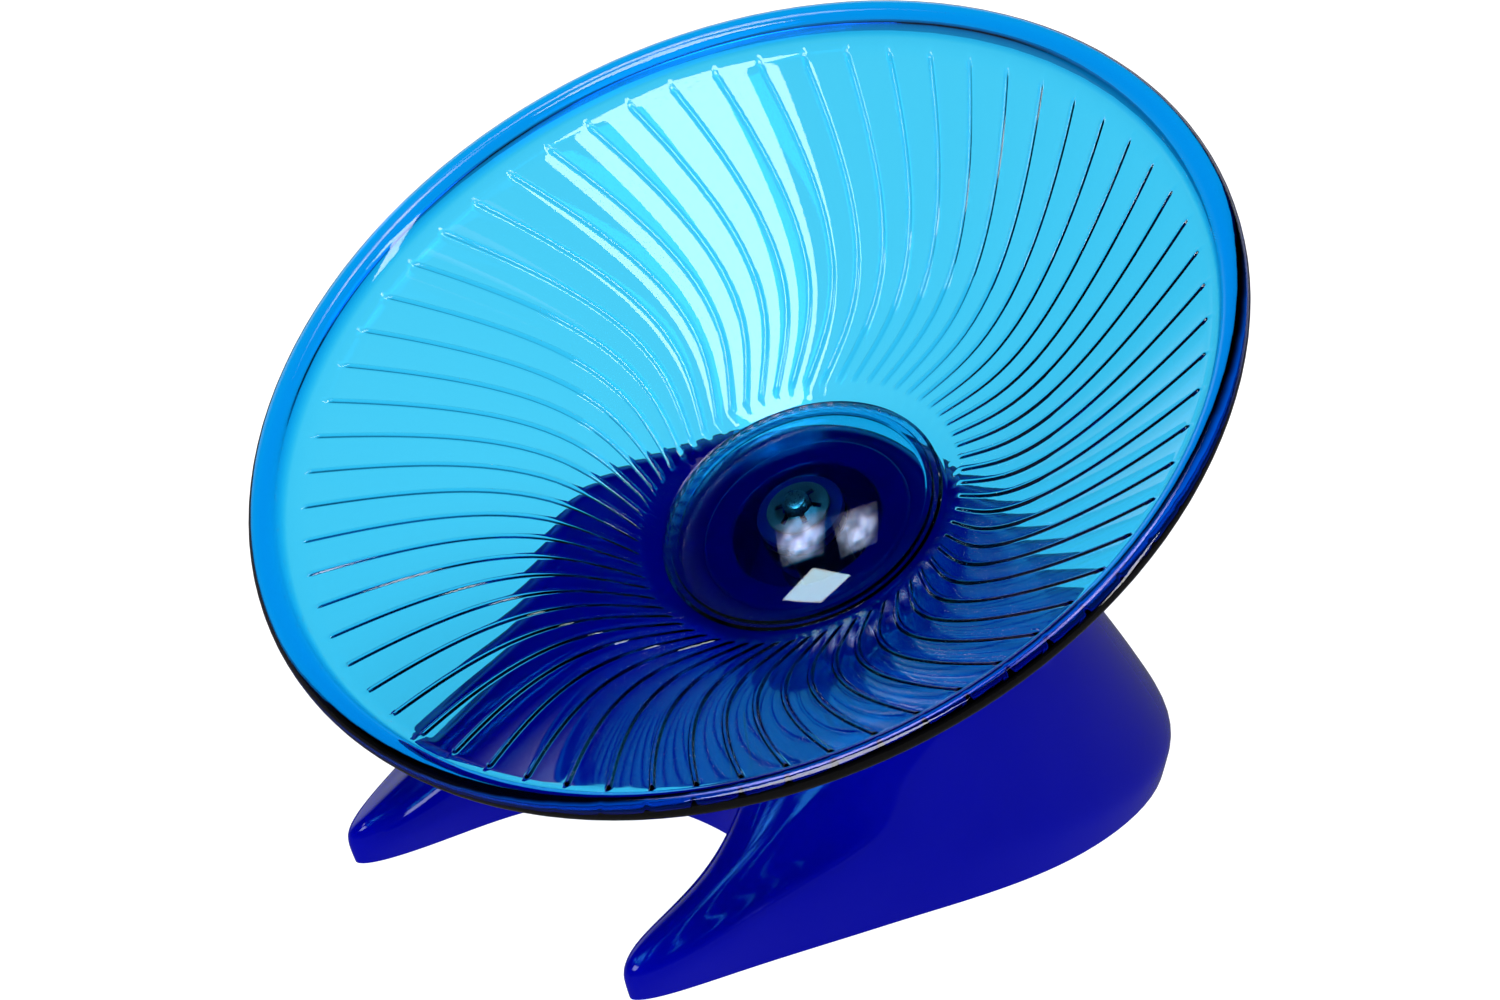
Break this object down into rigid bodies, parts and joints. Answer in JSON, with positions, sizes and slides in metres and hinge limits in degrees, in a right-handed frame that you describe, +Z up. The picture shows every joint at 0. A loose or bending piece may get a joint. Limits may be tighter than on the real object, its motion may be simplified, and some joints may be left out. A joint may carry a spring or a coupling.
{
  "type": "pet exercise wheel",
  "caption": "Tilted clear saucer with a ribbed running surface, spinning on an axle in a low two-legged moulded stand.",
  "frame": {"origin": "centre of the bounding box in plan, on the floor that the stand rests on", "axes": "+Z up, legs and the saucer's low side towards -Y, +X across"},
  "size_m": [0.1902, 0.1714, 0.13],
  "materials": {
    "stand_blue": "glossy injection moulded plastic",
    "clear_blue": "clear tinted injection moulded plastic",
    "axle_steel": "bright drawn steel",
    "nylon": "natural nylon",
    "blue_nylon": "dyed blue nylon"
  },
  "bodies": {
    "stand": {"stand": "stand_blue", "axle_pin": "axle_steel", "thrust_washer": "nylon", "retaining_clip": "axle_steel"},
    "saucer": {"saucer_dish": "clear_blue", "hub_bush": "blue_nylon", "dome_cap": "clear_blue"}
  },
  "joints": [
    {"name": "saucer_spin", "type": "hinge", "parent": "stand", "child": "saucer", "pos_m": [0, 0.01384, 0.0553], "axis": [0, -0.4718, 0.8817], "continuous": true}
  ]
}
